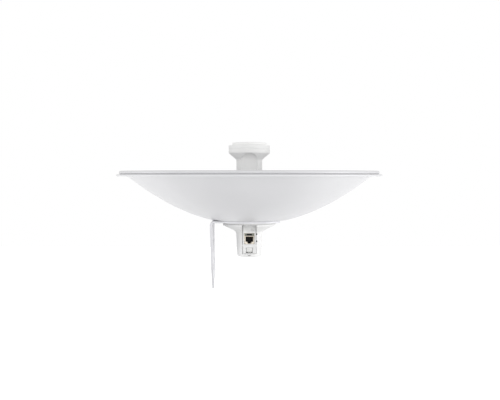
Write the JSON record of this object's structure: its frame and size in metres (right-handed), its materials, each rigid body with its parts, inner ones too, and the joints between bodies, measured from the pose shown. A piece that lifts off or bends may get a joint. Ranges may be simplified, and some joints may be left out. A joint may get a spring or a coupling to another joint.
{
  "type": "outdoor wireless bridge",
  "caption": "Dish wireless bridge: parabolic reflector with a plug-in radio feed, a rear housing with a network port, and an L-shaped elevation bracket.",
  "frame": {"origin": "middle of the pivot hole in the bracket's ear, where the pole clamp's bolt goes through", "axes": "+Z along the boresight, out of the dish; -Y towards the side of the network port, which faces down in use; -X out of the ear's mounting face"},
  "size_m": [0.42, 0.42, 0.2388],
  "materials": {
    "coated_steel": "white polyester powder coat on stamped steel, fine satin",
    "coated_steel_bracket": "white powder coat on 3 mm steel plate",
    "stainless_steel": "turned and tumbled stainless",
    "brass": "knurled brass",
    "white_housing_plastic": "UV-stable white ASA, fine spark-eroded texture",
    "feed_plastic": "UV-stable off-white ASA, fine satin texture",
    "foam_rubber": "light grey closed-cell foam, cut edge",
    "black_rubber": "moulded silicone",
    "vent_membrane": "stretched fluoropolymer membrane",
    "latch_plastic": "light grey acetal",
    "grey_button_plastic": "light grey acetal",
    "tinned_steel": "tin-plated pressed sheet",
    "black_jack_plastic": "black glass-filled nylon",
    "gold_plated_wire": "gold flash on phosphor bronze",
    "circuit_board": "green solder mask on glass epoxy",
    "chip_epoxy": "moulded black epoxy",
    "lamp_epoxy": "clear lamp epoxy",
    "clear_plastic": "polished polycarbonate",
    "bare_aluminium": "rolled sheet",
    "thermal_pad": "filled silicone pad"
  },
  "bodies": {
    "mount_assembly": {"reflector_dish": "coated_steel", "alignment_bracket": "coated_steel_bracket", "mounting_screws": "stainless_steel", "mounting_washers": "stainless_steel", "threaded_inserts": "brass", "rear_housing": "white_housing_plastic", "collar_gasket": "foam_rubber"},
    "feed": {"feed_tube": "feed_plastic", "feed_cap": "feed_plastic", "cap_seal": "black_rubber", "tube_seal": "black_rubber", "port_carrier": "white_housing_plastic", "vent_patch": "vent_membrane", "ethernet_jack_shell": "tinned_steel", "ethernet_jack_insert": "black_jack_plastic", "ethernet_contacts": "gold_plated_wire", "link_lamps": "lamp_epoxy", "main_board": "circuit_board", "board_screws": "stainless_steel", "shield_cans": "tinned_steel", "board_chips": "chip_epoxy", "ethernet_transformer": "chip_epoxy", "reset_switch": "black_jack_plastic", "status_leds": "lamp_epoxy", "light_pipe": "clear_plastic", "heat_spreader": "bare_aluminium", "thermal_pads": "thermal_pad", "feed_coax": "tinned_steel", "dipole_board": "circuit_board", "dipole_arms": "gold_plated_wire", "feed_spacers": "feed_plastic", "subreflector_plate": "bare_aluminium"},
    "latch": {"release_latch": "latch_plastic"},
    "reset_key": {"reset_button": "grey_button_plastic"}
  },
  "joints": [
    {"name": "feed_slide", "type": "slide", "parent": "mount_assembly", "child": "feed", "axis": [0, 0, 1], "range_m": [0, 0.056]},
    {"name": "latch_press", "type": "hinge", "parent": "feed", "child": "latch", "pos_m": [0.0595, -0.0267, -0.0116], "axis": [1, 0, 0], "range_deg": [0, 6], "stiffness_Nm_per_rad": 0.3},
    {"name": "reset_press", "type": "slide", "parent": "feed", "child": "reset_key", "axis": [0, 1, 0], "range_m": [0, 0.00045], "stiffness_N_per_m": 3000}
  ]
}
